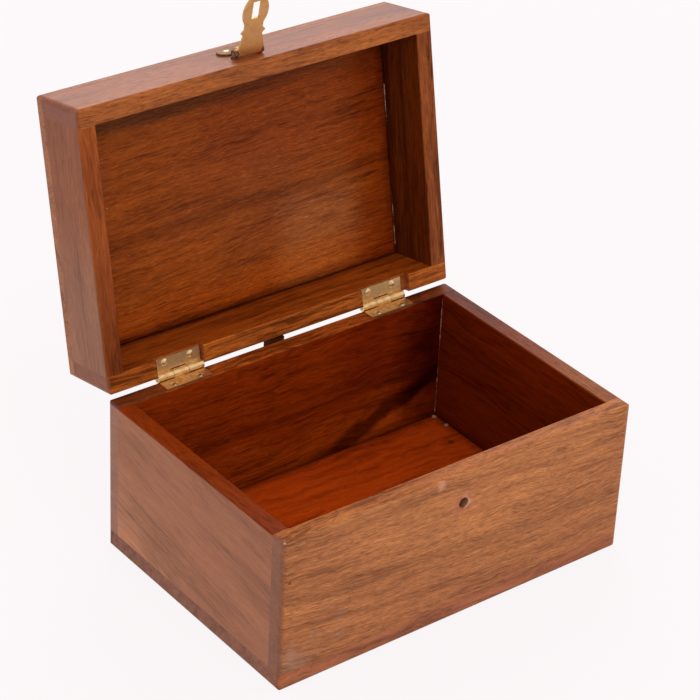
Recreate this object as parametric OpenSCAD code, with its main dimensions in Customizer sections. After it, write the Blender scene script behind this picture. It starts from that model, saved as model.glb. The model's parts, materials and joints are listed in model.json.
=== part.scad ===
// Hinged wooden money box with a brass hasp, lid standing open on its stop block.
// Millimetres. Origin at the centre of the underside: +X right, +Y back, +Z up.
// The lid and the hasp are drawn closed and then swung about their pins.

/* [Base] */
// Width of the box, left to right
box_w = 200; // [160:1:280]
// Depth of the box, front to back
box_d = 136.8; // [110:0.1:200]
// Height of the base from its underside to its rim
base_h = 79.3; // [65:0.1:120]
// Thickness of the four base walls
wall_t = 8.5; // [8.4:0.1:12]
// Thickness of the bottom board under the walls
bottom_t = 8.6; // [6:0.1:12]

/* [Lid] */
// Height of the closed lid from its rim to its top
lid_h = 34.4; // [30:0.1:60]
// Thickness of the four lid rails
rail_t = 9.1; // [8.8:0.1:12]
// Thickness of the top panel over the rails
panel_t = 5.6; // [4:0.1:10]
// Gap between the two rims when the lid is shut
rim_gap = 0.6; // [0.3:0.1:1]
// How far the lid swings open before it meets its stop
open_angle = 100.9; // [95:0.1:110]

/* [Edges] */
// Radius of the upright outer corners
corner_r = 2.5; // [1:0.1:4]
// Radius of the outer edges along rims, top and underside
edge_r = 1.1; // [0.5:0.1:2]
// Radius of the base's back rim edge, which the hinges bridge
hinge_edge_r = 0.4; // [0.3:0.1:1]
// Radius of the worn lower right edge of the base
worn_edge_r = 3.6; // [1:0.1:5]
// Radius of the rims' inner edges
inner_edge_r = 0.6; // [0.3:0.1:1]

/* [Butt hinges] */
// Length of each hinge along its pin
hinge_l = 25.4; // [20:0.1:32]
// Distance from each end of the box to its hinge's middle
hinge_inset = 40; // [25:1:55]
// Thickness of the brass leaves
leaf_t = 1; // [0.8:0.1:1.2]
// How far a leaf reaches over the wood from the back face
leaf_reach = 8.4; // [7.5:0.1:8.4]
// Radius of the steel hinge pins
pin_r = 1.05; // [0.8:0.05:1.2]
// Running clearance round a pin, on the radius
pin_clear = 0.05; // [0.02:0.01:0.1]
// How far the pins stand behind the back faces
pin_back = 0.4; // [0.3:0.1:1]
// Clearance between a barrel and the groove cut for it in the lid
barrel_clear = 0.3; // [0.2:0.05:0.5]
// Gap between neighbouring knuckles
knuckle_gap = 0.2; // [0.1:0.05:0.4]
// Room at the ends of a hinge in its recess in the lid
mortise_slack = 0.2; // [0.1:0.1:0.5]
// Extra room cut beside the left lid leaf
left_overcut = 0.6; // [0:0.1:2]
// Extra room cut beside the right lid leaf
right_overcut = 3.3; // [0:0.1:6]
// Distance between the two screws of a leaf
screw_spacing = 14.4; // [11:0.1:16]
// Distance of the base screws from the back face
base_screw_in = 5.8; // [4.5:0.1:6]
// Distance of the lid screws from the back face
lid_screw_in = 6; // [4.5:0.1:6.2]

/* [Screws] */
// Radius of a hinge screw's head
screw_head_r = 1.8; // [1.5:0.1:2.2]
// Radius of a screw's shank
screw_r = 0.9; // [0.7:0.05:1.1]
// Length of a hinge screw under its head
screw_l = 9; // [6:0.5:12]
// Rise of a screw's domed head over the brass
dome_h = 0.4; // [0.2:0.1:0.5]
// Width and depth of the screwdriver slots
driver_slot = 0.5; // [0.4:0.05:0.6]
// Radius of a hasp screw's head
hasp_screw_head_r = 1.6; // [1.3:0.1:1.8]
// Length of a hasp screw under its head
hasp_screw_l = 6; // [4:0.5:7]

/* [Hasp] */
// Sideways place of the hasp from the middle of the box
hasp_x = -0.8; // [-5:0.1:5]
// Height of the hasp's pin above the lid rim
hasp_pin_h = 9.2; // [7:0.1:12]
// Length of the hasp's barrel
hasp_l = 16; // [13:0.1:20]
// Thickness of the hasp's brass
hasp_t = 1; // [0.8:0.1:1.2]
// Radius of the hasp's pin
hasp_pin_r = 1.05; // [0.8:0.05:1.2]
// Width of each of the plate's two ears
ear_w = 1.3; // [1.2:0.1:2.4]
// Gap between the shut strap and the wood
strap_clear = 0.3; // [0.2:0.05:0.5]
// Swing of the strap up from its shut position
strap_angle = 69; // [30:1:110]
// Width of the strap where it leaves the barrel
strap_root_w = 14.2; // [13:0.1:16]
// Distance from the pin to where the strap starts to narrow
strap_root_at = 3.4; // [3:0.1:5]
// Distance from the pin to the end of the strap's tapered root
strap_taper_at = 10.7; // [9:0.1:10.8]
// Width of the strap's neck
strap_neck_w = 10.2; // [8:0.1:11]
// Widest part of the strap's oval
strap_oval_w = 14; // [12:0.1:17]
// Distance from the pin to the middle of the oval
strap_oval_at = 22.4; // [20:0.1:25]
// Radius of the two arcs that make the oval
strap_oval_r = 11; // [10.5:0.1:15]
// Distance from the middle of the oval to the strap's tip
strap_tip = 9.4; // [8:0.1:9.8]
// Distance from the pin to the strap's side spurs
spur_at = 11.8; // [11.5:0.1:14]
// Width of the pointed spurs at the neck
spur_w = 3.4; // [2:0.1:4]
// How far the spurs stand out from the neck
spur_out = 1.7; // [1.5:0.1:2.2]
// Width of the slot for the staple
slot_w = 4.4; // [3.5:0.1:5]
// Length of the slot for the staple
slot_l = 9; // [7:0.1:10]
// Distance from the pin to the middle of the slot
slot_at = 23.6; // [22:0.1:26]
// Width of the plate across its two lobes
plate_w = 18; // [16:0.1:20]
// Height of the plate's top edge above the pin
plate_up = 16.6; // [15:0.1:19]
// Radius of the plate's lobes
lobe_r = 5.2; // [4.5:0.1:5.5]
// Width of the plate's waist
plate_waist_w = 10.6; // [10:0.1:13]
// Height above the pin where the ears have run into the waist
plate_waist_up = 5.5; // [4.5:0.1:6.5]
// Distance between the plate's two screws
plate_screw_spacing = 7.6; // [6:0.1:9]
// Height of the plate's screws above the pin
plate_screw_up = 12.6; // [11:0.1:14]

/* [Staple hole] */
// Sideways place of the staple hole from the middle of the box
staple_x = 0.6; // [-5:0.1:5]
// Distance of the staple hole below the base rim
staple_drop = 17.2; // [14:0.1:20]
// Radius of the staple hole
staple_r = 2.5; // [1.5:0.1:3.5]
// Depth of the worn mouth of the staple hole
staple_chamfer = 0.5; // [0.2:0.1:1]

/* [Stop block] */
// Width of the block that stops the lid
stop_w = 8; // [6:1:30]
// Thickness of the block, front to back
stop_d = 6; // [4:0.5:14]
// Length of the block below the base rim
stop_l = 16; // [8:1:40]
// Sideways place of the block's middle
stop_x = -3.5; // [-20:0.5:20]
// Set-back of the block's top from the rim's rounded edge
stop_relief = 0.4; // [0.4:0.05:0.8]
// Gap between the block and the open lid
stop_gap = 0.1; // [0.05:0.05:0.3]

/* [Panel pins] */
// Radius of the steel panel pins
nail_r = 0.7; // [0.5:0.1:1]
// Length of the panel pins
nail_l = 18; // [14:1:22]
// Depth of a pin's head below the filled surface
nail_sink = 1.5; // [1:0.1:2.5]
// Distance of the base's corner pins from the ends of the joint
corner_nail_inset = 22; // [14:1:26]
// Distance of the bottom and top pins from the box's outside
nail_inset = 30; // [20:1:40]

/* [Hidden] */
$fn = 48;

wood = "#9c5527";
dark_wood = "#7a3a1c";
brass = "#c79a4b";
steel = "#8d8d90";

half_w = box_w / 2;
half_d = box_d / 2;
rail_h = lid_h - panel_t;         // height of the lid's rails
lid_z = base_h + rim_gap;         // rim of the shut lid
past = 1;                         // how far a cut runs past a face

barrel_r = pin_r + pin_clear + leaf_t;
pin_y = half_d + pin_back;
pin_z = base_h + barrel_r;
lid_mortise_d = pin_z + barrel_r - lid_z;
hinge_x = half_w - hinge_inset;
knuckle_l = hinge_l / 3;
leaf_l = leaf_reach + pin_y - half_d;   // from the pin to the leaf's free edge

hasp_barrel_r = hasp_pin_r + pin_clear + hasp_t;
hasp_y = -half_d - hasp_barrel_r - strap_clear;
hasp_z = lid_z + hasp_pin_h;
strap_knuckle_w = hasp_l - 2 * (ear_w + knuckle_gap);

corner_nail_z = [bottom_t + corner_nail_inset, base_h - corner_nail_inset];
lid_nail_z = [lid_z + rail_h / 2];

// ---- shapes -------------------------------------------------------------

// Rectangle from the origin with a radius for each corner:
// [low left, low right, high right, high left]
module soft_rect(w, h, radii) {
    corners = [[0, 0, 0], [w, 0, 90], [w, h, 180], [0, h, 270]];
    difference() {
        square([w, h]);
        for (i = [0 : 3])
            translate([corners[i][0], corners[i][1]]) rotate(corners[i][2])
                difference() {
                    translate([-past, -past]) square(radii[i] + past);
                    translate([radii[i], radii[i]]) circle(radii[i]);
                }
    }
}

// Block on the z = 0 plane with softened outer edges, centred on x and y
module soft_block(w, d, h, low_r, low_right_r, high_r, high_back_r) {
    intersection() {
        translate([-w / 2, -d / 2, 0])
            linear_extrude(h) soft_rect(w, d, [corner_r, corner_r, corner_r, corner_r]);
        translate([-w / 2, d / 2, 0]) rotate([90, 0, 0])
            linear_extrude(d) soft_rect(w, h, [low_r, low_right_r, high_r, high_r]);
        translate([-w / 2, -d / 2, 0]) rotate([90, 0, 90])
            linear_extrude(w) soft_rect(d, h, [low_r, low_r, high_back_r, high_r]);
    }
}

module base_block() soft_block(box_w, box_d, base_h, edge_r, worn_edge_r, edge_r, hinge_edge_r);
module lid_block() translate([0, 0, lid_z]) soft_block(box_w, box_d, lid_h, edge_r, edge_r, edge_r, edge_r);

// Cylinder along +X from the origin
module x_rod(r, l) rotate([0, 90, 0]) cylinder(r = r, h = l);
// Cylinder along +Y from the origin
module y_rod(r, l) rotate([-90, 0, 0]) cylinder(r = r, h = l);

// Waste that rounds a long inner edge: the edge lies on the X axis,
// wood at +y below z = 0, and the cut is r deep
module edge_waste(l, r) {
    translate([-l / 2, 0, 0]) rotate([90, 0, 90]) linear_extrude(l)
        difference() {
            translate([-past, -r]) square([r + past, r + past]);
            translate([r, -r]) circle(r);
        }
}

// Waste round the inside of a rim that faces +z at the origin's height
module rim_waste(wall) {
    in_w = box_w - 2 * wall;
    in_d = box_d - 2 * wall;
    for (s = [0, 180]) {
        rotate(s) translate([0, in_d / 2, 0]) edge_waste(in_w, inner_edge_r);
        rotate(s + 90) translate([0, in_w / 2, 0]) edge_waste(in_d, inner_edge_r);
    }
}

// ---- moving frames ------------------------------------------------------

// Swings lid pieces, drawn shut, open about the hinge pins
module swing_lid()
    translate([0, pin_y, pin_z]) rotate([-open_angle, 0, 0]) translate([0, -pin_y, -pin_z]) children();

// Swings the strap, drawn hanging shut, up about the hasp's pin
module swing_strap()
    translate([hasp_x, hasp_y, hasp_z]) rotate([-strap_angle, 0, 0]) children();

// ---- panel pins ---------------------------------------------------------

// Pins through a front or back board into the ends of the side boards
module corner_pins(side, wall, heights)
    for (x = [-1, 1], z = heights)
        translate([x * (half_w - wall / 2), side * (half_d - nail_sink), z])
            rotate([side * 90, 0, 0]) cylinder(r = nail_r, h = nail_l);

// Pins that point up the walls from a flat board, heads at z = nail_sink
module board_pins(wall) {
    for (x = [-half_w + nail_inset, 0, half_w - nail_inset], y = [-1, 1])
        translate([x, y * (half_d - wall / 2), nail_sink]) cylinder(r = nail_r, h = nail_l);
    for (x = [-1, 1], y = [-half_d + nail_inset, half_d - nail_inset])
        translate([x * (half_w - wall / 2), y, nail_sink]) cylinder(r = nail_r, h = nail_l);
}

module lid_board_pins() translate([0, 0, lid_z + lid_h]) mirror([0, 0, 1]) board_pins(rail_t);

// ---- base ---------------------------------------------------------------

module base_bottom() color(dark_wood) difference() {
    intersection() {
        base_block();
        translate([-half_w, -half_d, 0]) cube([box_w, box_d, bottom_t]);
    }
    board_pins(wall_t);
}

// One wall of the base, cut from the softened block
module base_wall(corner, size) difference() {
    intersection() {
        base_block();
        translate([corner[0], corner[1], bottom_t]) cube([size[0], size[1], base_h - bottom_t]);
    }
    translate([0, 0, base_h]) rim_waste(wall_t);
    corner_pins(-1, wall_t, corner_nail_z);
    corner_pins(1, wall_t, corner_nail_z);
    board_pins(wall_t);
}

module base_front_board() color(wood) difference() {
    base_wall([-half_w, -half_d], [box_w, wall_t]);
    translate([staple_x, -half_d, base_h - staple_drop]) {
        y_rod(staple_r, wall_t + past);
        rotate([-90, 0, 0]) cylinder(r1 = staple_r + staple_chamfer, r2 = staple_r, h = staple_chamfer);
    }
}

module base_back_board() color(wood) difference() {
    base_wall([-half_w, half_d - wall_t], [box_w, wall_t]);
    for (x = [-hinge_x, hinge_x]) base_screw_places(x) screw_shank_hole(screw_l);
}

module base_left_board() color(wood)
    base_wall([-half_w, -half_d + wall_t], [wall_t, box_d - 2 * wall_t]);

module base_right_board() color(wood)
    base_wall([half_w - wall_t, -half_d + wall_t], [wall_t, box_d - 2 * wall_t]);

module base_front_pins() color(steel) corner_pins(-1, wall_t, corner_nail_z);
module base_back_pins() color(steel) corner_pins(1, wall_t, corner_nail_z);
module base_bottom_pins() color(steel) board_pins(wall_t);

// Block glued to the back board: the open lid's back face lies on its top rear edge
module lid_stop_block() color(dark_wood) {
    rear = pin_y - half_d - stop_d;   // the block's rear face, ahead of the pin
    top = pin_z + ((pin_y - half_d) - rear * cos(open_angle)) / sin(open_angle) - stop_gap;
    translate([stop_x - stop_w / 2, half_d, base_h - stop_l])
        rotate([90, 0, 90]) linear_extrude(stop_w)
            polygon([[0, 0], [stop_d, 0], [stop_d, top - base_h + stop_l],
                     [stop_relief, top - base_h + stop_l], [stop_relief, stop_l - hinge_edge_r],
                     [0, stop_l - hinge_edge_r]]);
}

// ---- hinges -------------------------------------------------------------

// Spans along the pin of the middle knuckle and of the two outer ones
middle_knuckle = [[-knuckle_l / 2 + knuckle_gap / 2, knuckle_l - knuckle_gap]];
outer_knuckles = [
    [-hinge_l / 2, knuckle_l - knuckle_gap / 2],
    [knuckle_l / 2 + knuckle_gap / 2, knuckle_l - knuckle_gap / 2]
];

// Leaf about its pin: the plate reaches to -y, its outer face at z = -barrel_r
module leaf(knuckles, bore_r, screw_in) difference() {
    union() {
        translate([-hinge_l / 2, -leaf_l, -barrel_r])
            cube([hinge_l, leaf_l - barrel_r - knuckle_gap, leaf_t]);
        for (k = knuckles) {
            translate([k[0], -barrel_r - 2 * knuckle_gap, -barrel_r])
                cube([k[1], barrel_r + 2 * knuckle_gap, leaf_t]);
            translate([k[0], 0, 0]) x_rod(barrel_r, k[1]);
        }
    }
    translate([-hinge_l / 2 - past, 0, 0]) x_rod(bore_r, hinge_l + 2 * past);
    for (x = [-screw_spacing / 2, screw_spacing / 2])
        translate([x, half_d - pin_y - screw_in, -barrel_r + leaf_t]) screw_seat(screw_head_r, leaf_t);
}

// Screw with its head's rim at z = 0, pointing to -z, for a sheet of thickness t
module screw(head_r, l, dome, t) {
    difference() {
        union() {
            translate([0, 0, -t]) cylinder(r1 = screw_r, r2 = head_r, h = t);
            translate([0, 0, -l]) cylinder(r = screw_r, h = l - t / 2);
            translate([0, 0, -l - screw_r]) cylinder(r1 = 0.1, r2 = screw_r, h = screw_r);
            intersection() {
                sphere_r = (head_r * head_r + dome * dome) / (2 * dome);
                translate([0, 0, dome - sphere_r]) sphere(r = sphere_r);
                cylinder(r = head_r, h = 2 * dome);
            }
        }
        translate([-head_r - past, -driver_slot / 2, dome - driver_slot])
            cube([2 * (head_r + past), driver_slot, driver_slot + past]);
    }
}

// Countersunk hole through a sheet of thickness t, its mouth at z = 0
module screw_seat(head_r, t) {
    translate([0, 0, -t]) cylinder(r1 = screw_r, r2 = head_r, h = t);
    translate([0, 0, -t - past]) cylinder(r = screw_r, h = t + past);
}

// Hole in the wood for a screw, its mouth at z = 0 on the sheet's outer face
module screw_shank_hole(l) {
    translate([0, 0, -l]) cylinder(r = screw_r, h = l);
    translate([0, 0, -l - screw_r]) cylinder(r1 = 0.1, r2 = screw_r, h = screw_r);
}

module base_screw_places(x)
    for (s = [-screw_spacing / 2, screw_spacing / 2])
        translate([x + s, half_d - base_screw_in, pin_z - barrel_r + leaf_t]) children();

module lid_screw_places(x)
    for (s = [-screw_spacing / 2, screw_spacing / 2])
        translate([x + s, half_d - lid_screw_in, pin_z + barrel_r - leaf_t]) mirror([0, 0, 1]) children();

module base_leaf(x) color(brass)
    translate([x, pin_y, pin_z]) leaf(middle_knuckle, pin_r, base_screw_in);

module lid_leaf(x) color(brass) swing_lid()
    translate([x, pin_y, pin_z]) mirror([0, 0, 1]) leaf(outer_knuckles, pin_r + pin_clear, lid_screw_in);

module hinge_pin(x) color(steel) translate([x - hinge_l / 2, pin_y, pin_z]) x_rod(pin_r, hinge_l);

module base_screws(x) color(brass) base_screw_places(x) screw(screw_head_r, screw_l, dome_h, leaf_t);
module lid_screws(x) color(brass) swing_lid() lid_screw_places(x) screw(screw_head_r, screw_l, dome_h, leaf_t);

// ---- lid ----------------------------------------------------------------

module lid_top_panel() color(wood) swing_lid() difference() {
    intersection() {
        lid_block();
        translate([-half_w, -half_d, lid_z + rail_h]) cube([box_w, box_d, panel_t]);
    }
    lid_board_pins();
}

// One rail of the lid, cut from the softened block and drawn shut
module lid_rail(corner, size) difference() {
    intersection() {
        lid_block();
        translate([corner[0], corner[1], lid_z]) cube([size[0], size[1], rail_h]);
    }
    translate([0, 0, lid_z]) mirror([0, 0, 1]) rim_waste(rail_t);
    corner_pins(-1, rail_t, lid_nail_z);
    corner_pins(1, rail_t, lid_nail_z);
    lid_board_pins();
}

module lid_front_rail() color(wood) swing_lid() difference() {
    lid_rail([-half_w, -half_d], [box_w, rail_t]);
    hasp_screw_places() screw_shank_hole(hasp_screw_l);
}

module lid_back_rail() color(wood) swing_lid() difference() {
    lid_rail([-half_w, half_d - rail_t], [box_w, rail_t]);
    for (h = [[-hinge_x, left_overcut], [hinge_x, right_overcut]]) {
        recess_x = h[0] - hinge_l / 2 - mortise_slack;
        recess_l = hinge_l + 2 * mortise_slack + h[1];
        translate([recess_x, half_d - rail_t - past, lid_z - past])
            cube([recess_l, rail_t + 2 * past, lid_mortise_d + past]);
        translate([recess_x, pin_y, pin_z]) x_rod(barrel_r + barrel_clear, recess_l);
    }
    for (x = [-hinge_x, hinge_x]) lid_screw_places(x) screw_shank_hole(screw_l);
}

module lid_left_rail() color(wood) swing_lid()
    lid_rail([-half_w, -half_d + rail_t], [rail_t, box_d - 2 * rail_t]);

module lid_right_rail() color(wood) swing_lid()
    lid_rail([half_w - rail_t, -half_d + rail_t], [rail_t, box_d - 2 * rail_t]);

module lid_front_pins() color(steel) swing_lid() corner_pins(-1, rail_t, lid_nail_z);
module lid_back_pins() color(steel) swing_lid() corner_pins(1, rail_t, lid_nail_z);
module lid_panel_pins() color(steel) swing_lid() lid_board_pins();

// ---- hasp ---------------------------------------------------------------

module hasp_screw_places()
    for (s = [-plate_screw_spacing / 2, plate_screw_spacing / 2])
        translate([hasp_x + s, -half_d - hasp_t, hasp_z + plate_screw_up]) rotate([90, 0, 0]) children();

// Plate's outline about the pin's middle: two ears, a waist and two round lobes
module plate_outline() {
    notch_top = hasp_barrel_r + 2 * knuckle_gap;
    lobe_x = plate_w / 2 - lobe_r;
    lobe_up = plate_up - lobe_r;
    difference() {
        union() {
            translate([-hasp_l / 2, 0]) square([hasp_l, notch_top]);
            polygon([[-hasp_l / 2, notch_top], [hasp_l / 2, notch_top],
                     [plate_waist_w / 2, plate_waist_up], [-plate_waist_w / 2, plate_waist_up]]);
            translate([-plate_waist_w / 2, notch_top]) square([plate_waist_w, lobe_up - notch_top]);
            translate([-lobe_x, lobe_up - lobe_r]) square([2 * lobe_x, 2 * lobe_r]);
            for (s = [-1, 1]) translate([s * lobe_x, lobe_up]) circle(lobe_r);
        }
        translate([-strap_knuckle_w / 2 - knuckle_gap, -past])
            square([strap_knuckle_w + 2 * knuckle_gap, notch_top + past]);
    }
}

module hasp_plate() color(brass) swing_lid() difference() {
    union() {
        translate([hasp_x, -half_d, hasp_z]) rotate([90, 0, 0]) linear_extrude(hasp_t) plate_outline();
        for (x = [-hasp_l / 2, hasp_l / 2 - ear_w])
            translate([hasp_x + x, hasp_y, hasp_z]) x_rod(hasp_barrel_r, ear_w);
    }
    translate([hasp_x - hasp_l / 2 - past, hasp_y, hasp_z]) x_rod(hasp_pin_r, hasp_l + 2 * past);
    hasp_screw_places() screw_seat(hasp_screw_head_r, hasp_t);
}

module hasp_plate_screws() color(brass) swing_lid()
    hasp_screw_places() screw(hasp_screw_head_r, hasp_screw_l, dome_h, hasp_t);

module hasp_pin() color(steel) swing_lid()
    translate([hasp_x - hasp_l / 2, hasp_y, hasp_z]) x_rod(hasp_pin_r, hasp_l);

// Strap's outline, hanging to -y from the pin's middle
module strap_outline() {
    tongue_l = hasp_barrel_r + 2 * knuckle_gap;
    root = strap_root_w / 2;
    neck = strap_neck_w / 2;
    arc_x = strap_oval_r - strap_oval_w / 2;
    difference() {
        union() {
            translate([-strap_knuckle_w / 2, -tongue_l - past]) square([strap_knuckle_w, tongue_l + past]);
            polygon([[-root, -tongue_l], [-root, -strap_root_at], [-neck, -strap_taper_at],
                     [neck, -strap_taper_at], [root, -strap_root_at], [root, -tongue_l]]);
            translate([-neck, -strap_oval_at]) square([strap_neck_w, strap_oval_at - tongue_l]);
            polygon([[-neck, spur_w / 2 - spur_at], [-neck - spur_out, -spur_at], [-neck, -spur_w / 2 - spur_at],
                     [neck, -spur_w / 2 - spur_at], [neck + spur_out, -spur_at], [neck, spur_w / 2 - spur_at]]);
            intersection() {
                translate([-arc_x, -strap_oval_at]) circle(strap_oval_r);
                translate([arc_x, -strap_oval_at]) circle(strap_oval_r);
                translate([0, -strap_oval_at]) circle(strap_tip);
            }
        }
        translate([-slot_w / 2, -slot_at - slot_l / 2]) square([slot_w, slot_l]);
    }
}

module hasp_strap() color(brass) swing_lid() swing_strap() difference() {
    union() {
        translate([0, hasp_barrel_r, 0]) rotate([90, 0, 0]) linear_extrude(hasp_t) strap_outline();
        translate([-strap_knuckle_w / 2, 0, 0]) x_rod(hasp_barrel_r, strap_knuckle_w);
    }
    translate([-strap_knuckle_w / 2 - past, 0, 0])
        x_rod(hasp_pin_r + pin_clear, strap_knuckle_w + 2 * past);
}

// ---- nodes --------------------------------------------------------------

base_bottom();
base_front_board();
base_back_board();
base_left_board();
base_right_board();
base_front_pins();
base_back_pins();
base_bottom_pins();
lid_stop_block();
base_leaf(-hinge_x);  // left_hinge_base_leaf
base_leaf(hinge_x);  // right_hinge_base_leaf
hinge_pin(-hinge_x);  // left_hinge_pin
hinge_pin(hinge_x);  // right_hinge_pin
base_screws(-hinge_x);  // left_hinge_base_screws
base_screws(hinge_x);  // right_hinge_base_screws
lid_top_panel();
lid_front_rail();
lid_back_rail();
lid_left_rail();
lid_right_rail();
lid_front_pins();
lid_back_pins();
lid_panel_pins();
lid_leaf(-hinge_x);  // left_hinge_lid_leaf
lid_leaf(hinge_x);  // right_hinge_lid_leaf
lid_screws(-hinge_x);  // left_hinge_lid_screws
lid_screws(hinge_x);  // right_hinge_lid_screws
hasp_plate();
hasp_plate_screws();
hasp_pin();
hasp_strap();
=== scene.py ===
import json
import math
import random
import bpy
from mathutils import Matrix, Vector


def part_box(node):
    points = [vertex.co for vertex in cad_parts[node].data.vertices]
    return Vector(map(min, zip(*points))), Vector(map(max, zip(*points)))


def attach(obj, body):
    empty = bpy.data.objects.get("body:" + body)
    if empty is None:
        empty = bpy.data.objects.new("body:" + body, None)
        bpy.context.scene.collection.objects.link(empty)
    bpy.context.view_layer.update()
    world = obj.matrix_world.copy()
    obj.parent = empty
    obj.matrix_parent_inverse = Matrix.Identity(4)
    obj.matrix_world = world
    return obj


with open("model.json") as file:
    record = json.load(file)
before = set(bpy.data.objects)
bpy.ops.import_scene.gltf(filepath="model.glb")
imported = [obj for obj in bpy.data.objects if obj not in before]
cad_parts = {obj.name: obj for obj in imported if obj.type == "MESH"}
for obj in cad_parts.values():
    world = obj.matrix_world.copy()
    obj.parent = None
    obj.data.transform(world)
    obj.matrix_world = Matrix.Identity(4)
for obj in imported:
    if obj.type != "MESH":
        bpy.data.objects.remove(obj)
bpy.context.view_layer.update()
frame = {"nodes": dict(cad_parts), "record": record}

from types import SimpleNamespace

import bmesh
import bpy
from mathutils import Matrix, Vector

MM = 0.001


# ---- sizes taken from the frame, in millimetres ------------------------------

def box_mm(node):
    return [[edge / MM for edge in corner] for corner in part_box(node)]


JOINTS = {joint["name"]: joint for joint in frame["record"]["behaviour"]["joints"]}
LID_PIN = Vector(JOINTS["lid_hinge"]["pos_m"])
OPEN_ANGLE = math.radians(JOINTS["lid_hinge"]["range_deg"][1])
TO_SHUT = Matrix.Translation(LID_PIN) @ Matrix.Rotation(OPEN_ANGLE, 4, "X") @ Matrix.Translation(-LID_PIN)
TO_OPEN = TO_SHUT.inverted()


def lowest_when_shut(node):
    return min((TO_SHUT @ point.co).z for point in frame["nodes"][node].data.vertices) / MM


FRONT_LOW, FRONT_HIGH = box_mm("base_front_board")
RAIL_LOW, RAIL_HIGH = box_mm("lid_left_rail")
HALF_W = FRONT_HIGH[0]
FACE_Y, BACK_Y = FRONT_LOW[1], -FRONT_LOW[1]
WALL_T, RAIL_T = FRONT_HIGH[1] - FRONT_LOW[1], RAIL_HIGH[0] - RAIL_LOW[0]
IN_X, IN_Y = HALF_W - WALL_T, BACK_Y - WALL_T
LID_IN_X, LID_IN_Y = HALF_W - RAIL_T, BACK_Y - RAIL_T
FLOOR_Z, RIM_Z = box_mm("base_bottom")[1][2], FRONT_HIGH[2]
LID_RIM_Z, PANEL_Z = lowest_when_shut("lid_front_rail"), lowest_when_shut("lid_top_panel")

HASP_PIN_Z = JOINTS["hasp_swing"]["pos_m"][2] / MM
STAPLE = next(mount for mount in frame["record"]["mounts"] if mount["name"] == "staple_hole")
STAPLE_X, STAPLE_Z = STAPLE["pos_m"][0] / MM, STAPLE["pos_m"][2] / MM
STAPLE_R = STAPLE["dims"]["r_mm"]


# ---- shader maths ------------------------------------------------------------

# Sockets of the Mix node when it mixes colours
MIX_SHARE, MIX_UNDER, MIX_OVER, MIX_RESULT = 0, 6, 7, 2


class Strand:
    """A value, colour or vector on its way through a finish; sums on it add the nodes."""

    def __init__(self, finish, out):
        self.finish = finish
        self.out = out

    def sum(self, operation, *values):
        return self.finish.node("ShaderNodeMath", {"operation": operation}, dict(enumerate(values)))

    def __add__(self, other):
        return self.sum("ADD", self, other)

    def __radd__(self, other):
        return self.sum("ADD", other, self)

    def __sub__(self, other):
        return self.sum("SUBTRACT", self, other)

    def __rsub__(self, other):
        return self.sum("SUBTRACT", other, self)

    def __mul__(self, other):
        return self.sum("MULTIPLY", self, other)

    def __rmul__(self, other):
        return self.sum("MULTIPLY", other, self)

    def __abs__(self):
        return self.sum("ABSOLUTE", self)

    def least(self, other):
        return self.sum("MINIMUM", self, other)

    def most(self, other):
        return self.sum("MAXIMUM", self, other)

    def band(self, low, high, start=0.0, end=1.0):
        """Eases from start to end as the value goes from low to high."""
        return self.finish.node(
            "ShaderNodeMapRange",
            {"interpolation_type": "SMOOTHSTEP"},
            {"Value": self, "From Min": low, "From Max": high, "To Min": start, "To Max": end},
        )


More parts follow.
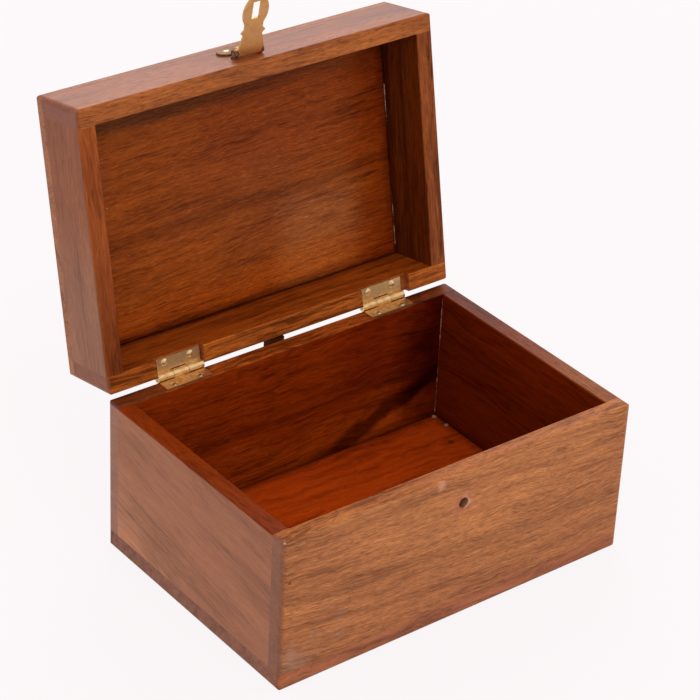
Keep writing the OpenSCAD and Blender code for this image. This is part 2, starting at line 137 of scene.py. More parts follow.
class Finish:
    """A material while it is being mixed."""

    def __init__(self, name):
        self.material = bpy.data.materials.new(name)
        self.material.use_nodes = True
        self.tree = self.material.node_tree
        self.shader = self.tree.nodes["Principled BSDF"]

    def node(self, kind, settings, sockets, output=0):
        """Adds a node: its settings first, then the values or links of its sockets."""
        node = self.tree.nodes.new(kind)
        for name, value in settings.items():
            if name == "stops":
                self.stops(node.color_ramp, value)
            else:
                setattr(node, name, value)
        for name, value in sockets.items():
            self.plug(node.inputs[name], value)
        return Strand(self, node.outputs[output])

    def stops(self, ramp, stops):
        while len(ramp.elements) < len(stops):
            ramp.elements.new(0.5)
        for element, (place, colour) in zip(ramp.elements, stops):
            element.position = place
            element.color = (*colour, 1.0)

    def plug(self, socket, value):
        if isinstance(value, Strand):
            self.tree.links.new(value.out, socket)
        else:
            socket.default_value = value

    def vector(self, operation, *values, output=0):
        return self.node("ShaderNodeVectorMath", {"operation": operation}, dict(enumerate(values)), output)

    def scaled(self, vector, factor):
        return self.node("ShaderNodeVectorMath", {"operation": "SCALE"}, {0: vector, "Scale": factor})

    def turned(self, vector, angles):
        return self.node("ShaderNodeMapping", {}, {"Vector": vector, "Rotation": angles})

    def distance(self, start, end):
        return self.vector("DISTANCE", start, end, output="Value")

    def parts(self, vector):
        """The three numbers of a vector, each a value of its own."""
        first = self.node("ShaderNodeSeparateXYZ", {}, {0: vector})
        return [Strand(self, out) for out in first.out.node.outputs]

    def join(self, x, y, z):
        return self.node("ShaderNodeCombineXYZ", {}, {0: x, 1: y, 2: z})

    def blend(self, share, under, over, way="MIX"):
        """Mixes two colours, way being the blend type."""
        return self.node(
            "ShaderNodeMix",
            {"data_type": "RGBA", "blend_type": way},
            {MIX_SHARE: share, MIX_UNDER: solid(under), MIX_OVER: solid(over)},
            output=MIX_RESULT,
        )

    def tinted(self, colour, *rows):
        """Multiplies a colour by one tint after another; each row is a share and its tint."""
        for share, tint in rows:
            colour = self.blend(share, colour, tint, way="MULTIPLY")
        return colour

    def painted(self, colour, *rows):
        """Lays one paint over another; each row is a share and its colour on the screen."""
        for share, paint in rows:
            colour = self.blend(share, colour, srgb(*paint))
        return colour

    def noise(self, place, stretch=None, scale=1.0, detail=3.0, roughness=0.5, colour=False):
        """Cloudy noise from 0 to 1; stretch gives its cycles per millimetre along each side."""
        if stretch:
            place = self.vector("MULTIPLY", place, stretch)
        return self.node(
            "ShaderNodeTexNoise",
            {},
            {"Vector": place, "Scale": scale, "Detail": detail, "Roughness": roughness},
            output="Color" if colour else "Fac",
        )

    def noise_along(self, value, detail, roughness):
        return self.node(
            "ShaderNodeTexNoise",
            {"noise_dimensions": "1D"},
            {"W": value, "Scale": 1.0, "Detail": detail, "Roughness": roughness},
        )

    def ramp(self, value, stops):
        return self.node("ShaderNodeValToRGB", {"stops": stops}, {0: value})

    def place_mm(self, on_lid=False):
        """Where a point is in the part's frame, in millimetres, the lid's points as if it were shut."""
        place = self.node("ShaderNodeTexCoord", {}, {}, output="Object")
        if on_lid:
            place = self.node(
                "ShaderNodeVectorRotate",
                {"rotation_type": "X_AXIS"},
                {"Vector": place, "Center": LID_PIN, "Angle": OPEN_ANGLE},
            )
        return self.scaled(place, 1 / MM)

    def bump(self, height, depth_mm):
        relief = self.node("ShaderNodeBump", {}, {"Height": height, "Distance": depth_mm * MM})
        self.wear({"Normal": relief})

    def wear(self, sockets):
        """Puts values or links on the shader's own sockets."""
        for name, value in sockets.items():
            self.plug(self.shader.inputs[name], value)


def solid(colour):
    return colour if isinstance(colour, Strand) else (*colour[:3], 1.0)


def srgb(red, green, blue):
    """Linear colour for screen values from 0 to 255."""
    def linear(value):
        share = value / 255
        return share / 12.92 if share <= 0.04045 else ((share + 0.055) / 1.055) ** 2.4
    return (linear(red), linear(green), linear(blue))


def dress(node, material):
    piece = frame["nodes"][node]
    if not piece.material_slots:
        piece.data.materials.append(material)
    for slot in piece.material_slots:
        slot.material = material


# ---- wood --------------------------------------------------------------------

# Turns that bring the direction of a board's grain to X, and its broad face to XY
QUARTER_TURN = math.radians(90)
ALONG_X_FLAT = (0.0, 0.0, 0.0)
ALONG_X_UPRIGHT = (-QUARTER_TURN, 0.0, 0.0)
ALONG_Y_UPRIGHT = (-QUARTER_TURN, -QUARTER_TURN, 0.0)

# The middle tones of each board on the screen: outside, inside and rim; the greyer outside tones carry a
# painted sheen
BOARD_TONES = {
    "base_front_board": ((163, 98, 54), (120, 40, 8), (155, 86, 41)),
    "base_back_board": ((163, 98, 54), (130, 44, 4), (152, 69, 20)),
    "base_left_board": ((148, 90, 60), (120, 40, 8), (122, 45, 7)),
    "base_right_board": ((148, 90, 60), (108, 32, 2), (117, 52, 22)),
    "base_bottom": ((150, 84, 50), (161, 55, 6), None),
    "lid_stop_block": ((84, 44, 26), (84, 44, 26), None),
    "lid_top_panel": ((148, 90, 60), (138, 63, 15), None),
    "lid_front_rail": ((146, 76, 38), (97, 35, 6), (141, 74, 30)),
    "lid_back_rail": ((146, 76, 38), (141, 62, 14), (156, 78, 26)),
    "lid_left_rail": ((132, 73, 43), (97, 35, 6), (150, 75, 32)),
    "lid_right_rail": ((132, 73, 43), (99, 41, 10), (126, 63, 28)),
}

# A wood's four tones, from its dark veins to its glowing streaks, as shares of its middle tone
TONE_STEPS = ((0.42, 0.36, 0.30), (1.0, 1.0, 1.0), (1.26, 1.32, 1.30), (1.50, 1.66, 1.62))
TONE_PLACES = (0.05, 0.42, 0.70, 0.98)
MIDDLE_TONE = TONE_PLACES[1]
END_TONES = ((112, 70, 54), (138, 90, 70))

# Cycles of each kind of figure per millimetre, along the grain and across it
DRIFT, RIPPLE = (0.010, 0.018, 0.018), (0.085, 0.04, 0.04)
STREAKS, FIBRES = (0.020, 0.30, 0.30), (0.055, 0.95, 0.95)
DASHES, CLOUDS = (0.20, 1.9, 1.9), (0.012, 0.045, 0.045)
RINGS_PER_MM, VEINS_PER_RING, END_SPECKS = 0.2, 0.33, 2.4

# Where the pith lies from a board, and how far apart the boards may lie in their tree, in millimetres
PITH = (0.0, 70.0, 45.0)
FAR_APART = 400

# How far the drift and the ripple push the grain, and how much clouds and specks change its tone
DRIFT_PUSH, RIPPLE_PUSH = 2.0, 0.34
CLOUDS_BY, SPECKS_BY = 0.8, 0.7
HALF = (0.5, 0.5, 0.5)

# How far from an edge or a face each mark starts and is full, in millimetres
INNER_FADE, OUTER_FADE, RIM_FADE = (-0.5, -0.2), (1.0, 0.0), (0.9, 0.4)
# Fades of the painted shade in the inner corners and of the joint lines with their painted shade
CORNER_SHADE_DROP_FADE, CORNER_SHADE_WALL_FADE = (7.0, 0.3), (7.0, 0.2)
SEAM_AND_SHADE_FADE, END_FADE = (1.3, 0.35), (2.0, 0.2)

# Tints of the figure, of the painted shade in the inner corners, of the dark joint lines deepened by
# painted shade, and of tired end grain
VEIN_TINT, PORE_TINT, FLECK_TINT = (0.40, 0.34, 0.28), (0.34, 0.27, 0.22), (1.5, 1.6, 1.5)
CORNER_SHADE_TINT, SEAM_AND_SHADE_TINT, END_TINT = (0.42, 0.34, 0.36), (0.22, 0.16, 0.16), (0.6, 0.52, 0.5)

# How much the fibres, pores and year bands show in the gloss and in the relief
FIBRE_GLOSS, PORE_GLOSS = 0.14, 0.12
FIBRE_RELIEF, PORE_RELIEF, BAND_RELIEF, RELIEF_MM = 0.5, 0.8, 0.3, 0.05
LACQUER_ROUGHNESS, INNER_LACQUER = 0.3, 0.02


def tones(middle):
    """The stops of a ramp round one middle tone."""
    colour = srgb(*middle)
    steps = [tuple(c * s for c, s in zip(colour, step)) for step in TONE_STEPS]
    return list(zip(TONE_PLACES, steps))


def figure(finish, place, turn, tilt, wave, fine, seed):
    """The figure of one board: year bands, veins, streaks, fibres, clouds, pores and flecks."""
    rng = random.Random(seed)
    shift = Vector([rng.uniform(-FAR_APART, FAR_APART) for _ in range(3)])
    board = finish.turned(finish.turned(place, turn), (0.0, 0.0, math.radians(tilt)))
    shifted = finish.vector("ADD", board, shift)

    # The grain wanders slowly, and ripples across the board
    bent = board
    for stretch, push in ((DRIFT, DRIFT_PUSH), (RIPPLE, RIPPLE_PUSH)):
        sway = finish.vector("SUBTRACT", finish.noise(shifted, stretch, detail=2.0, colour=True), HALF)
        bent = finish.vector("ADD", bent, finish.scaled(sway, wave * push))

    # Year rings about a pith that lies outside the board
    across = finish.vector("MULTIPLY", bent, (0.0, 1.0, 1.0))
    from_pith = finish.vector("LENGTH", finish.vector("ADD", across, PITH), output="Value")
    ring = from_pith * RINGS_PER_MM + rng.uniform(0, 90)
    bands = finish.noise_along(ring, detail=5.0, roughness=0.66)
    veins = finish.noise_along(ring * VEINS_PER_RING + 17.0, detail=3.0, roughness=0.6)

    strands = finish.scaled(finish.vector("ADD", bent, shift), fine)
    dashes = finish.noise(strands, DASHES, detail=1.0)
    cloud = finish.noise(shifted, CLOUDS)
    return SimpleNamespace(
        bands=bands,
        veins=veins.band(0.40, 0.30),
        streaks=finish.noise(strands, STREAKS, detail=4.0, roughness=0.62),
        fibres=finish.noise(strands, FIBRES, detail=2.5, roughness=0.6),
        cloud=cloud,
        pores=dashes.band(0.56, 0.66) * cloud.band(0.30, 0.66, 0.35, 1.0),
        flecks=dashes.band(0.43, 0.34),
    )


def room(sides, on_lid):
    """How far a point is inside the walls, and above the floor or below the lid's panel."""
    x, y, z = sides
    if on_lid:
        return (LID_IN_X - abs(x)).least(LID_IN_Y - abs(y)), PANEL_Z - z
    return (IN_X - abs(x)).least(IN_Y - abs(y)), z - FLOOR_Z


def on_rim(sides, on_lid=False):
    """1 on the flat of the rim, and 0 from a millimetre away."""
    away = sides[2] - LID_RIM_Z if on_lid else RIM_Z - sides[2]
    return away.band(*RIM_FADE)


def on_left_face(x):
    """1 on the outer left face."""
    return (x + HALF_W).band(*OUTER_FADE)


def at_ends(x, fade):
    """1 on the outer left and right faces, where the long boards end."""
    return (HALF_W - abs(x)).band(*fade)


def wood(node, name, turn, seed, on_lid=False, tilt=0.0, wave=5.0, fine=1.0, bands_by=0.22,
         streaks_by=1.2, fibres_by=1.1, pores_by=0.5, flecks_by=0.3, rim_by=1.5, seam_and_shade_by=0.5,
         end_grain=0.0, end_tones=END_TONES, roughness=0.36, shine=0.05, lacquer=0.2, marks=None):
    """Dresses a board in lacquered hardwood with a figure of its own."""
    outside, inside, rim = BOARD_TONES[node]
    finish = Finish(name)
    place = finish.place_mm(on_lid)
    sides = finish.parts(place)
    grain = figure(finish, place, turn, tilt, wave, fine, seed)
    depth = ((grain.bands - 0.5) * (2.0 * bands_by) + (grain.cloud - 0.5) * CLOUDS_BY
             + (grain.streaks - 0.5) * streaks_by + (grain.fibres - 0.5) * fibres_by + MIDDLE_TONE)

    reach, drop = room(sides, on_lid)
    within = reach.least(drop).band(*INNER_FADE)
    colour = finish.blend(within, finish.ramp(depth, tones(outside)), finish.ramp(depth, tones(inside)))
    shut_faces = within
    if rim:
        rim_share = on_rim(sides, on_lid)
        lively = (depth - MIDDLE_TONE) * rim_by + MIDDLE_TONE
        colour = finish.blend(rim_share, colour, finish.ramp(lively, tones(rim)))
        shut_faces = within.most(rim_share)

    # The figure, then painted shade where the inner faces meet, with a dark joint line deepened by painted
    # shade, then tired end grain
    corner_shade = drop.band(*CORNER_SHADE_DROP_FADE) * reach.band(*CORNER_SHADE_WALL_FADE) * within
    corner_shade = corner_shade * grain.cloud.band(0.3, 0.6, 0.28, 0.7)
    seam_and_shade = (drop.most(0.0) + reach.most(0.0)).band(*SEAM_AND_SHADE_FADE) * within
    colour = finish.tinted(
        colour,
        (grain.veins * (2.0 * bands_by), VEIN_TINT),
        (grain.flecks * flecks_by, FLECK_TINT),
        (grain.pores * pores_by, PORE_TINT),
        (corner_shade, CORNER_SHADE_TINT),
        (seam_and_shade * seam_and_shade_by, SEAM_AND_SHADE_TINT),
    )
    if end_grain:
        ends = at_ends(sides[0], END_FADE)
        specks = finish.noise(place, scale=END_SPECKS, detail=1.0)
        speckled = finish.blend(specks, srgb(*end_tones[0]), srgb(*end_tones[1]))
        colour = finish.blend(ends * SPECKS_BY, colour, speckled)
        colour = finish.tinted(colour, (ends * end_grain, END_TINT))
    gloss = roughness + (grain.fibres - 0.5) * FIBRE_GLOSS + grain.pores * PORE_GLOSS
    if marks:
        colour, gloss = marks(finish, place, sides, colour, gloss)

    finish.wear({
        "Base Color": colour,
        "Roughness": gloss,
        "Coat Weight": shut_faces.band(0.0, 1.0, lacquer, INNER_LACQUER),
        "Coat Roughness": LACQUER_ROUGHNESS,
        "Specular IOR Level": shine,
    })
    relief = grain.fibres * FIBRE_RELIEF - grain.pores * PORE_RELIEF + grain.bands * BAND_RELIEF
    finish.bump(relief, RELIEF_MM)
    dress(node, finish.material)


# ---- marks of each board -----------------------------------------------------

def spot(finish, place, middle, radius, ragged=0.5, soft=0.4):
    """A ragged round patch on the wood, 1 inside and 0 outside."""
    edge = (finish.noise(place, scale=1.2 / max(radius, 0.6), detail=2.0) - 0.5) * (2.0 * ragged * radius)
    return (finish.distance(place, middle) + edge).band(radius * (1.0 + soft), radius * (1.0 - soft))


# Splinters, bare wood and dents round the staple hole, and a dark patch of painted shade at its upper
# left: across and up from it, radius and colour
STAPLE_PATCHES = (
    (0.4, 3.4, 1.5, (192, 132, 108)),
    (3.6, -0.6, 1.3, (196, 140, 110)),
    # Painted shade in the upper left of the hole
    (-1.2, 1.4, 1.2, (70, 34, 18)),
    (-5.6, -2.6, 1.1, (178, 112, 84)),
    (-14.0, 14.4, 2.2, (206, 150, 116)),
    (-4.4, -5.4, 1.6, (158, 88, 66)),
    (-3.4, -0.4, 1.8, (166, 96, 74)),
)


def staple_hole_wear_and_shading(finish, place, sides, colour):
    """The rubbed ring, the torn mouth and the bore of the staple hole, with a painted highlight on the lit
    right of the mouth and painted shade on the left of the bore; gives the ring too.
    """
    x, _, z = sides
    around = finish.distance(finish.join(x, 0.0, z), (STAPLE_X, 0.0, STAPLE_Z))
    ragged = (finish.noise(place, scale=0.6) - 0.5) * 3.4
    rubbed = (around + ragged).band(STAPLE_R + 4.0, STAPLE_R + 0.6)
    mouth = (around + ragged * 0.35).band(STAPLE_R + 1.1, STAPLE_R + 0.4)
    bore = around.band(STAPLE_R + 0.25, STAPLE_R + 0.05)
    # The mouth's pale paint is a painted highlight on its lit right side; the bore is painted darker on
    # its shaded left
    lit = (x - STAPLE_X).band(-0.4, 1.6)
    colour = finish.painted(colour, (rubbed * 0.6, (158, 86, 60)))
    for across, up, radius, paint in STAPLE_PATCHES:
        middle = (STAPLE_X + across, FACE_Y, STAPLE_Z + up)
        patch = spot(finish, place, middle, radius, ragged=0.9, soft=0.7)
        colour = finish.painted(colour, (patch * 0.55, paint))
    colour = finish.painted(
        colour,
        (mouth * lit * 0.7, (202, 150, 120)),
        (bore * lit.band(0.0, 1.0, 0.92, 0.62), (112, 68, 44)),
    )
    return colour, rubbed


def front_marks(finish, place, sides, colour, gloss):
    """The filled pin, a chipped corner, handling smudges, a painted highlight along the rounded top edge
    and the staple hole.
    """
    x, y, z = sides
    filled_pin = spot(finish, place, (-96.2, FACE_Y, 57.2), 0.8)
    chip = spot(finish, place, (-99.3, FACE_Y + 0.7, 78.8), 0.6)
    smudge = finish.noise(place, (0.09, 0.09, 0.05), detail=4.0).band(0.46, 0.66)
    smudge = smudge * spot(finish, place, (-84.0, FACE_Y, 22.0), 17.0)
    # Painted highlight along the front's rounded top edge
    edge_highlight = (RIM_Z - z).band(1.5, 0.6) * (y - FACE_Y).band(1.3, 0.4)
    rim_ends = on_rim(sides) * abs(x + 10.0).band(30.0, 70.0)
    low = z.band(62.0, 16.0)
    colour = finish.painted(
        colour,
        (filled_pin * 0.8, (96, 48, 26)),
        (chip * 0.3, (226, 190, 166)),
        (smudge * 0.34, (172, 140, 120)),
    )
    colour = finish.tinted(
        colour,
        (edge_highlight * 0.8, (1.06, 1.26, 1.7)),
        (rim_ends, (1.15, 1.24, 1.28)),
        (low * 0.55, (0.80, 0.74, 0.74)),
    )
    colour, rubbed = staple_hole_wear_and_shading(finish, place, sides, colour)
    return colour, gloss + rubbed * 0.1 + smudge * 0.1


def back_wall_marks(finish, place, sides, colour, gloss):
    """The dark vein that runs down the inner back wall to the floor, its dark right end and rim ends."""
    x, y, z = sides
    wander = finish.noise(place, scale=0.05) - 0.5
    inner = (IN_Y - y).band(*INNER_FADE)
    above_vein = z + wander * 9.0 - (x - 25.0) * 0.36 - 11.0
    vein = abs(above_vein + wander * 6.0).band(7.0, 2.2) * x.band(4.0, 30.0)
    under_vein = above_vein.band(-2.0, -7.0) * x.band(24.0, 44.0)
    knot = spot(finish, place, (83.0, IN_Y, 53.0), 5.0, ragged=1.2, soft=0.7)
    pale = (z + wander * 40.0).band(40.0, 14.0)
    upper = (x + wander * 60.0).band(16.0, 40.0) * z.band(34.0, 52.0)
    dark_end = (x + wander * 44.0).band(58.0, 86.0)
    rim_ends = on_rim(sides) * abs(x).band(70.0, 76.0)
    colour = finish.tinted(
        colour,
        (under_vein * inner, (1.3, 1.36, 1.6)),
        (pale * inner * 0.9, (1.42, 1.9, 1.7)),
        (upper * inner * 0.8, (0.76, 0.58, 0.7)),
        (dark_end * inner * 0.9, (0.26, 0.10, 0.34)),
        (vein.most(knot * 0.5) * inner * 0.85, (0.24, 0.17, 0.16)),
        (rim_ends, (0.44, 0.46, 0.8)),
    )
    return colour, gloss


def bottom_marks(finish, place, sides, colour, gloss):
    """A small knot in the floor, the darker ends, and painted contact shade along the lower edge outside.
    """
    x, _, z = sides
    knot_middle = (82.4, 35.5, FLOOR_Z)
    knot = spot(finish, place, knot_middle, 1.5, ragged=0.6)
    halo = spot(finish, place, knot_middle, 5.0)
    inner = (z - FLOOR_Z).band(*INNER_FADE)
    ends = at_ends(x, OUTER_FADE)
    colour = finish.tinted(
        colour,
        (halo * inner * 0.3, (0.6, 0.5, 0.5)),
        (knot * inner * 0.75, (0.25, 0.16, 0.12)),
        (ends, (0.66, 0.74, 1.0)),
        # Painted contact shade along the lower outer edge
        (z.band(1.8, 0.2) * 0.5, (0.4, 0.34, 0.38)),
    )
    return colour, gloss


def left_marks(finish, place, sides, colour, gloss):
    """The paler, greyer back half of the left board outside, a painted sheen, and its rim that darkens
    towards the hinge.
    """
    x, y, z = sides
    wander = finish.noise(place, scale=0.04) - 0.5
    # Painted sheen: the back half made paler and greyer
    sheen_back_half = (y + wander * 50.0).band(-4.0, 50.0) * z.band(56.0, 24.0) * on_left_face(x)
    rim_end = on_rim(sides) * y.band(-20.0, 40.0)
    colour = finish.tinted(
        colour,
        (sheen_back_half, (1.34, 1.46, 1.46)),
        (rim_end * 0.3, (0.7, 0.5, 0.6)),
    )
    return colour, gloss


def right_marks(finish, place, sides, colour, gloss):
    """The right board's rim, paler in front and darker towards the hinge."""
    _, y, _ = sides
    rim = on_rim(sides)
    colour = finish.tinted(
        colour,
        (rim * y.band(0.0, -40.0), (1.25, 1.7, 1.6)),
        (rim * y.band(-30.0, 40.0) * 0.6, (0.56, 0.34, 0.36)),
    )
    return colour, gloss


def panel_marks(finish, place, sides, colour, gloss):
    """Inside the lid: greyish clouds of painted reflection and sheen, a redder right end, a warm low end
    and painted shade along the rails.
    """
    x, y, z = sides
    wander = finish.noise(place, (0.02, 0.035, 0.035)) - 0.5
    inner = (PANEL_Z - z).band(*INNER_FADE)
    # A greyish cloud in the middle: a painted reflection
    middle = (abs(x - 5.0) + wander * 120.0).band(52.0, 8.0)
    middle = middle * (abs(y - 6.0) + wander * 60.0).band(46.0, 8.0)
    end = (x + wander * 50.0).band(56.0, 84.0)
    # A greyer, bluer patch to the right: a painted sheen
    painted_sheen = (x + wander * 40.0).band(14.0, 36.0) * (x + wander * 20.0).band(74.0, 60.0)
    painted_sheen = painted_sheen * (y + wander * 40.0).band(2.0, 18.0)
    low = (y + wander * 30.0).band(34.0, 56.0)
    upper = y.band(10.0, -20.0) * (x + wander * 40.0).band(-40.0, 0.0)
    # Painted shade under the front rail and along the back rail
    top = (y + wander * 24.0).band(-44.0, -58.0)
    under_rail = (y + wander * 6.0).band(-41.0, -46.5) * x.band(70.0, -50.0, 0.3, 0.85)
    over_rail = (y + wander * 5.0).band(LID_IN_Y - 5.5, LID_IN_Y - 1.0) * x.band(60.0, -60.0, 0.3, 0.85)
    colour = finish.tinted(
        colour,
        (middle * inner * 0.34, (0.72, 0.86, 2.6)),
        (end * inner * 0.6, (0.82, 0.44, 0.20)),
        (painted_sheen * inner * 0.8, (1.18, 1.6, 3.6)),
        (low * inner * 0.6, (1.36, 1.05, 0.4)),
        (upper * inner * 0.8, (0.88, 0.74, 0.76)),
        (top * inner * 0.4, (0.56, 0.52, 0.52)),
        (under_rail * inner, (0.42, 0.56, 1.2)),
        (over_rail * inner, (0.26, 0.16, 0.16)),
    )
    return colour, gloss


def lid_left_marks(finish, place, sides, colour, gloss):
    """The left rail, paler and greyer outside near the hinge, a painted sheen, and duller on its rim
    there.
    """
    x, y, _ = sides
    near_hinge = y.band(-30.0, 34.0)
    # The paler, bluer outside near the hinge is a painted sheen
    colour = finish.tinted(
        colour,
        (near_hinge * on_left_face(x) * 0.8, (1.08, 1.52, 2.3)),
        (near_hinge * on_rim(sides, on_lid=True) * 0.8, (0.62, 0.56, 0.62)),
    )
    return colour, gloss


wood("base_front_board", "golden wavy wood", ALONG_X_UPRIGHT, 3, tilt=4.0, wave=7.0, fine=1.25,
     streaks_by=1.0, pores_by=0.44, flecks_by=0.45, rim_by=1.1, end_grain=0.25, marks=front_marks)
wood("base_back_board", "dark veined wood", ALONG_X_UPRIGHT, 8, wave=9.0, pores_by=0.3,
     end_grain=0.1, end_tones=((124, 86, 76), (150, 108, 94)), marks=back_wall_marks)
wood("base_left_board", "soft brown side wood", ALONG_Y_UPRIGHT, 5, tilt=-9.0, bands_by=0.06,
     streaks_by=0.4, fibres_by=0.7, pores_by=0.14, flecks_by=0.12, marks=left_marks)
wood("base_right_board", "deep brown side wood", ALONG_Y_UPRIGHT, 12, bands_by=0.1,
     streaks_by=0.6, pores_by=0.2, flecks_by=0.15, marks=right_marks)
wood("base_bottom", "red floor wood", ALONG_X_FLAT, 21, wave=16.0,
     streaks_by=1.0, fibres_by=0.7, pores_by=0.12, flecks_by=0.2, marks=bottom_marks)
wood("lid_stop_block", "dark block wood", ALONG_X_UPRIGHT, 31, roughness=0.7, shine=0.03, lacquer=0.0)
wood("lid_top_panel", "lid panel wood", ALONG_X_FLAT, 41, on_lid=True, tilt=2.0, fine=1.45,
     streaks_by=0.8, fibres_by=1.2, pores_by=0.2, flecks_by=0.7, seam_and_shade_by=0.8, marks=panel_marks)
wood("lid_front_rail", "lid front rail wood", ALONG_X_UPRIGHT, 52, on_lid=True, bands_by=0.12,
     streaks_by=0.7, seam_and_shade_by=0.8, end_grain=0.02, end_tones=((102, 54, 34), (126, 70, 48)), shine=0.13)
wood("lid_back_rail", "lid back rail wood", ALONG_X_UPRIGHT, 55, on_lid=True,
     streaks_by=1.4, seam_and_shade_by=0.8, end_grain=0.1)
wood("lid_left_rail", "lid left rail wood", ALONG_Y_UPRIGHT, 58, on_lid=True, bands_by=0.12,
     streaks_by=0.4, fibres_by=0.7, pores_by=0.2, rim_by=1.2, marks=lid_left_marks)
wood("lid_right_rail", "lid right rail wood", ALONG_Y_UPRIGHT, 61, on_lid=True, streaks_by=0.8)


# ---- metal -------------------------------------------------------------------

LEAF_BRASS = srgb(232, 192, 136), srgb(188, 138, 82)
LEAF_SCREW_BRASS = srgb(240, 212, 168), srgb(190, 146, 98)
HASP_SCREW_BRASS = srgb(240, 212, 168), srgb(188, 138, 82)
PLATE_BRASS = srgb(132, 94, 68), srgb(102, 70, 48)
STRAP_BRASS = srgb(211, 158, 102), srgb(192, 139, 84)
STEEL = srgb(120, 118, 116), srgb(172, 170, 168)
# Cycles per millimetre of the rolling and drawing marks, along and across them, of tarnish and of spots
ROLLED, DRAWN, TARNISH, SPOTS = (0.25, 5.0, 5.0), (0.2, 6.0, 6.0), 0.35, 2.6
SPOT_DARKNESS = 0.4


def brass(node, name, shades, seed, on_lid=False, roughness=0.32, tarnish_by=0.6, spots_by=0.35, painted_highlight=None):
    """Dresses a piece in sheet brass, rolled one way, with a thin uneven tarnish."""
    bright, dull = shades
    finish = Finish(name)
    place = finish.vector("ADD", finish.place_mm(on_lid), (seed * 11.0, seed * 7.0, seed * 3.0))
    rolled = finish.noise(place, ROLLED)
    tarnish = finish.noise(place, scale=TARNISH, detail=4.0, roughness=0.6).band(0.42, 0.66)
    spots = finish.noise(place, scale=SPOTS, detail=2.0).band(0.62, 0.72)
    colour = finish.blend(tarnish * tarnish_by + (rolled - 0.5) * 0.3, bright, dull)
    colour = finish.blend(spots * spots_by, colour, [c * SPOT_DARKNESS for c in dull])
    # A painted highlight, where one is given
    if painted_highlight:
        colour = painted_highlight(finish, colour)
    gloss = roughness + tarnish * 0.12 + rolled * 0.08
    finish.wear({"Base Color": colour, "Metallic": 1.0, "Roughness": gloss})
    finish.bump(rolled * 0.4 + tarnish * 0.3, 0.03)
    dress(node, finish.material)


def strap_knuckle_highlight(finish, colour):
    """A painted highlight: the brass made brighter where the strap leaves its knuckle."""
    height = finish.parts(finish.place_mm())[2]
    low = (height - HASP_PIN_Z).band(9.0, 0.5)
    return finish.tinted(colour, (low * 0.6, (1.26, 1.5, 1.4)))


def steel(node, name):
    """Dresses pins in plain drawn wire."""
    finish = Finish(name)
    drawn = finish.noise(finish.place_mm(), DRAWN, detail=2.0)
    colour = finish.blend(drawn, *STEEL)
    finish.wear({"Base Color": colour, "Metallic": 1.0, "Roughness": 0.3 + drawn * 0.15})
    finish.bump(drawn, 0.02)
    dress(node, finish.material)


for side in ("left", "right"):
    for seed, half in enumerate(("base", "lid")):
        brass(f"{side}_hinge_{half}_leaf", f"{side} {half} leaf brass", LEAF_BRASS, seed + 2,
              on_lid=half == "lid")
        brass(f"{side}_hinge_{half}_screws", f"{side} {half} screw brass", LEAF_SCREW_BRASS, seed + 5,
              roughness=0.2)
    steel(f"{side}_hinge_pin", f"{side} hinge pin steel")
brass("hasp_plate", "hasp plate brass", PLATE_BRASS, 9, on_lid=True, roughness=0.46)
brass("hasp_plate_screws", "hasp screw brass", HASP_SCREW_BRASS, 10, roughness=0.22)
brass("hasp_strap", "hasp strap brass", STRAP_BRASS, 11, on_lid=True, roughness=0.42,
      tarnish_by=0.3, spots_by=0.0, painted_highlight=strap_knuckle_highlight)
for pins in ("hasp_pin", "base_front_pins", "base_back_pins", "base_bottom_pins",
             "lid_front_pins", "lid_back_pins", "lid_panel_pins"):
    steel(pins, f"{pins} steel")


# ---- dried glue --------------------------------------------------------------

GLUE_DARK, GLUE_PALE = srgb(104, 54, 30), srgb(182, 142, 122)
# A bead's sizes in millimetres: rows, middle radius, swelling, least radius, tips and depth in the corner
BEAD_ROW, BEAD_R, BEAD_SWELL, BEAD_LEAST, BEAD_TIP, BEAD_SINK = 1.1, 0.16, 0.62, 0.03, 0.05, 0.05
# How much of its swelling a row keeps from the row before, and how much is new
SWELL_KEPT, SWELL_NEW = 0.7, 0.3
BEAD_STEPS = 4
DROP_UNEVEN, DROP_FLATTENED = (0.86, 1.12), 0.55
LEFT, TOWARDS_FRONT, UP, DOWN = (-1, 0, 0), (0, -1, 0), (0, 0, 1), (0, 0, -1)


def glue():
    finish = Finish("dried glue")
    grain = finish.noise(finish.place_mm(), scale=2.0)
    colour = finish.blend(grain.band(0.35, 0.65), GLUE_DARK, GLUE_PALE)
    finish.wear({"Base Color": colour, "Roughness": 0.35 + grain * 0.2})
    finish.bump(grain, 0.05)
    return finish.material


GLUE = glue()


def add_glue(name, shape, body):
    bmesh.ops.recalc_face_normals(shape, faces=shape.faces)
    mesh = bpy.data.meshes.new(name)
    shape.to_mesh(mesh)
    shape.free()
    mesh.materials.append(GLUE)
    for face in mesh.polygons:
        face.use_smooth = True
    piece = bpy.data.objects.new(name, mesh)
    bpy.context.scene.collection.objects.link(piece)
    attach(piece, body)


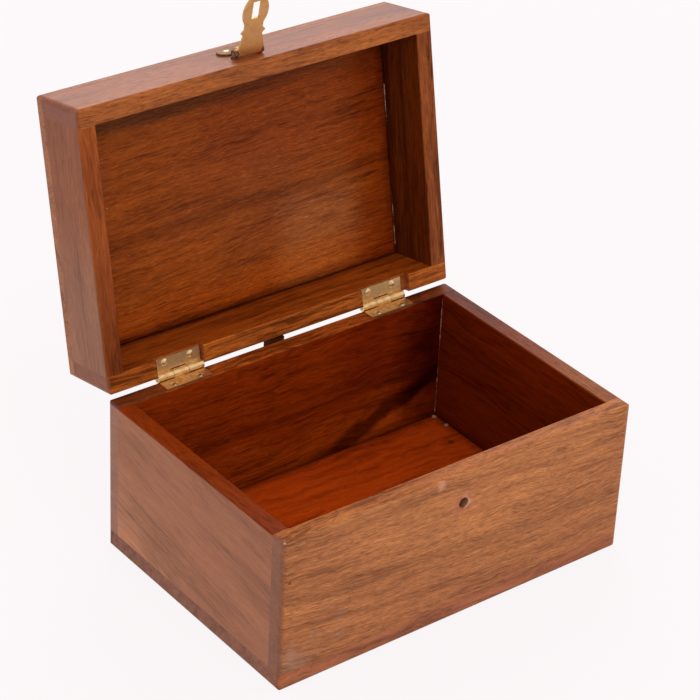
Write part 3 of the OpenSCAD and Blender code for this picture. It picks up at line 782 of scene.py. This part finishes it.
def glue_bead(name, body, start, end, low, high, seed, on_lid=False):
    """A thin uneven bead along an inner corner; low and high turn from the bead to its two faces."""
    rng = random.Random(seed)
    start, end = Vector(start) * MM, Vector(end) * MM
    low, high = Vector(low), Vector(high)
    rows = max(8, int((end - start).length / (BEAD_ROW * MM)))
    shape = bmesh.new()
    rings = []
    swell = 0.0
    for row in range(rows + 1):
        swell = SWELL_KEPT * swell + SWELL_NEW * rng.uniform(-1.0, 1.0)
        size = BEAD_R + BEAD_SWELL * swell if 0 < row < rows else BEAD_TIP
        size = max(size, BEAD_LEAST) * MM
        corner = start.lerp(end, row / rows)
        ring = []
        for step in range(BEAD_STEPS + 1):
            turn = QUARTER_TURN * step / BEAD_STEPS
            ring.append(corner + low * size * math.cos(turn) + high * size * math.sin(turn))
        ring.append(corner - (low + high) * BEAD_SINK * MM)
        rings.append([shape.verts.new(TO_OPEN @ point if on_lid else point) for point in ring])
    for first, second in zip(rings, rings[1:]):
        for i, corner in enumerate(first):
            following = (i + 1) % len(first)
            shape.faces.new((corner, first[following], second[following], second[i]))
    shape.faces.new(rings[0][::-1])
    shape.faces.new(rings[-1])
    add_glue(name, shape, body)


def glue_drop(name, body, middle, radius, up, seed, on_lid=False):
    """A flat uneven drop on a face whose outward direction is up."""
    rng = random.Random(seed)
    shape = bmesh.new()
    bmesh.ops.create_icosphere(shape, subdivisions=2, radius=1.0)
    up = Vector(up)
    middle = Vector(middle) * MM
    for vert in shape.verts:
        point = vert.co * (radius * MM) * rng.uniform(*DROP_UNEVEN)
        point -= up * point.dot(up) * DROP_FLATTENED
        vert.co = middle + point
        if on_lid:
            vert.co = TO_OPEN @ vert.co
    add_glue(name, shape, body)


glue_bead("base_corner_glue", "base",
          (IN_X, IN_Y, FLOOR_Z + 1), (IN_X, IN_Y, RIM_Z - 2), LEFT, TOWARDS_FRONT, 1)
glue_drop("floor_glue_drop_back", "base", (IN_X - 1.3, IN_Y - 1.1, FLOOR_Z), 1.4, UP, 2)
glue_drop("floor_glue_drop_side", "base", (IN_X - 1.0, IN_Y - 10.8, FLOOR_Z), 1.2, UP, 3)
glue_bead("lid_corner_glue_low", "lid",
          (LID_IN_X, 27, PANEL_Z), (LID_IN_X, 55, PANEL_Z), LEFT, DOWN, 4, on_lid=True)
glue_bead("lid_corner_glue_high", "lid",
          (LID_IN_X, -30, PANEL_Z), (LID_IN_X, -8, PANEL_Z), LEFT, DOWN, 5, on_lid=True)
glue_drop("lid_glue_drop", "lid", (17.6 - LID_IN_X, -8.7, PANEL_Z), 0.5, DOWN, 6, on_lid=True)


# ---- studio ------------------------------------------------------------------

# Metres and degrees here, with lamp power in watts
FLOOR_REACH = 6.0
FLOOR_TONE, FLOOR_GLOW, FLOOR_GLOW_BY = (0.07, 0.068, 0.069, 1.0), (0.965, 0.931, 0.939, 1.0), 0.926
ROOM_TONE, ROOM_LIGHT = (1.0, 0.985, 0.99, 1.0), 0.95
# Each lamp: its place, the point it looks at, its size and its power
LAMPS = {
    "back panel": ((1.3, 1.7, 1.5), (0.0, 0.0, 0.1), 1.6, 22.0),
    "key": ((-0.3, -1.0, 1.6), (0.0, 0.0, 0.08), 1.0, 7.0),
}
CAMERA_PLACE = (-0.66038, -0.79928, 0.73067)
CAMERA_TURN = (58.9417, -2.4965, -37.4481)
LENS_MM, FILM_MM = 136.4, 36.0


def pale_floor():
    mesh = bpy.data.meshes.new("floor")
    corners = [(x * FLOOR_REACH, y * FLOOR_REACH, 0) for x, y in ((-1, -1), (1, -1), (1, 1), (-1, 1))]
    mesh.from_pydata(corners, [], [(0, 1, 2, 3)])
    finish = Finish("pale floor")
    finish.wear({
        "Base Color": FLOOR_TONE,
        "Roughness": 0.9,
        "Specular IOR Level": 0.0,
        "Emission Color": FLOOR_GLOW,
        "Emission Strength": FLOOR_GLOW_BY,
    })
    mesh.materials.append(finish.material)
    floor = bpy.data.objects.new("floor", mesh)
    bpy.context.scene.collection.objects.link(floor)


def soft_light():
    world = bpy.data.worlds.new("soft white room")
    world.use_nodes = True
    bpy.context.scene.world = world
    back = world.node_tree.nodes["Background"]
    back.inputs["Color"].default_value = ROOM_TONE
    back.inputs["Strength"].default_value = ROOM_LIGHT
    for name, (place, aim, size, power) in LAMPS.items():
        lamp = bpy.data.lights.new(name, "AREA")
        lamp.energy = power
        lamp.size = size
        holder = bpy.data.objects.new(name, lamp)
        holder.location = place
        holder.rotation_euler = (Vector(aim) - Vector(place)).to_track_quat("-Z", "Y").to_euler()
        bpy.context.scene.collection.objects.link(holder)


def camera():
    lens = bpy.data.cameras.new("camera")
    lens.sensor_width = FILM_MM
    lens.lens = LENS_MM
    holder = bpy.data.objects.new("camera", lens)
    holder.location = CAMERA_PLACE
    holder.rotation_euler = [math.radians(angle) for angle in CAMERA_TURN]
    bpy.context.scene.collection.objects.link(holder)
    bpy.context.scene.camera = holder


bpy.context.scene.view_settings.view_transform = "Standard"
pale_floor()
soft_light()
camera()
